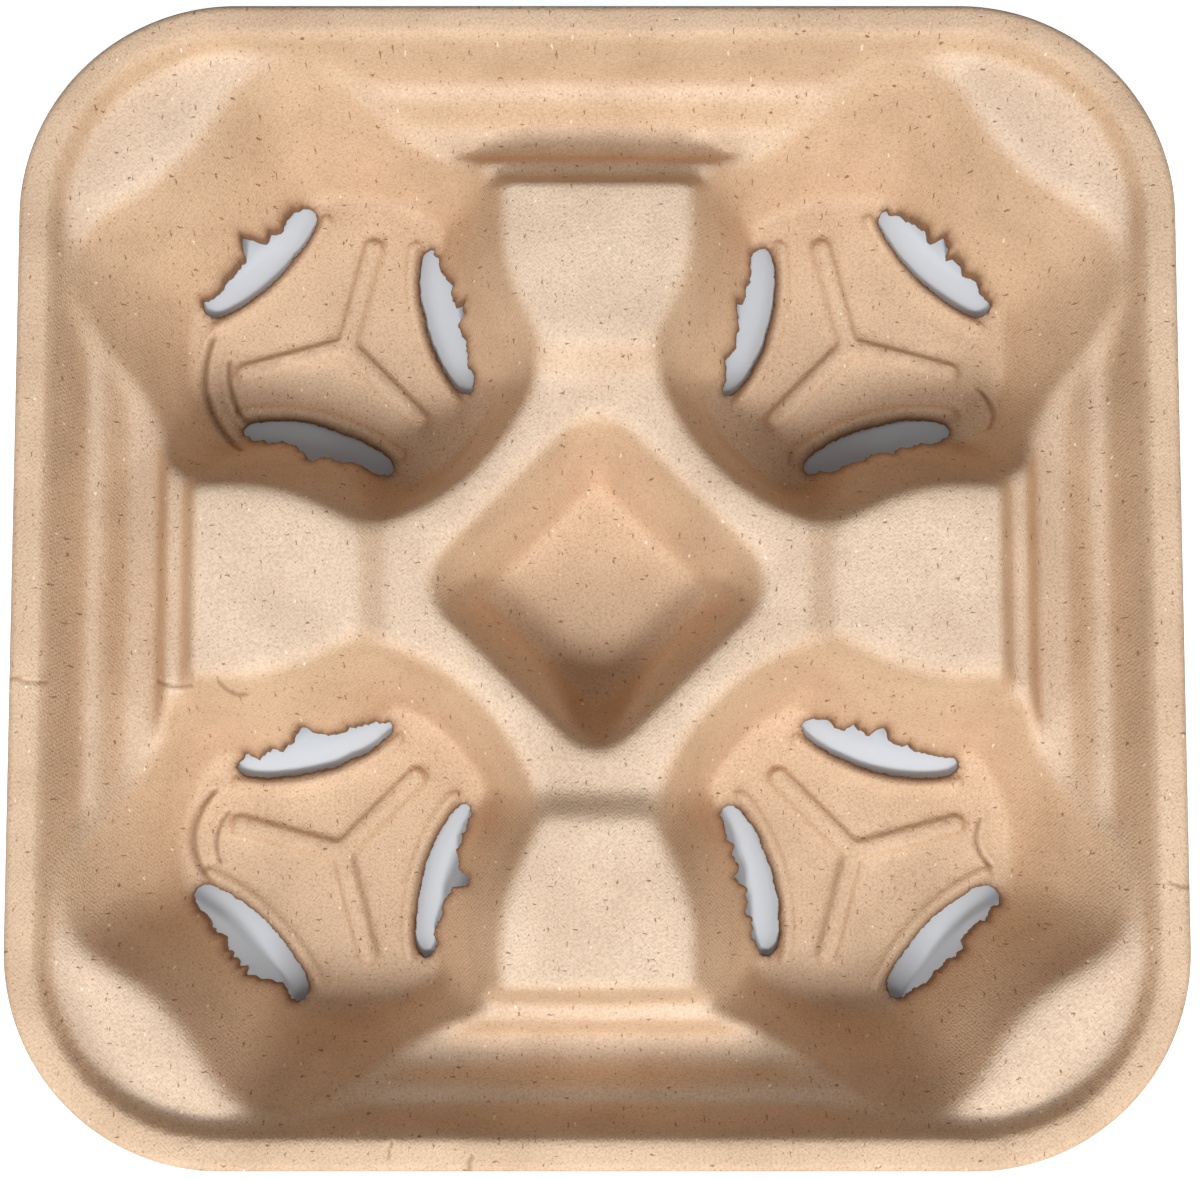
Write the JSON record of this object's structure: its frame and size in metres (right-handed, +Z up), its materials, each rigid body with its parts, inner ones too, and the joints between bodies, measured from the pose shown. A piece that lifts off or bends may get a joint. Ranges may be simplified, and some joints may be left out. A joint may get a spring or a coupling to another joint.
{
  "type": "cup carrier",
  "caption": "Square moulded-fibre cup carrier tray with rounded corners, deep cup wells with flexing panels, and a central pit.",
  "frame": {"origin": "under the middle of the tray, on the plane its wells stand on", "axes": "+Z up, +X to the right and +Y to the back, along the tray's sides"},
  "size_m": [0.216, 0.216, 0.044],
  "materials": {
    "moulded_fibre": "matt, fibrous"
  },
  "bodies": {
    "root": {"cup_carrier": "moulded_fibre"}
  },
  "joints": []
}
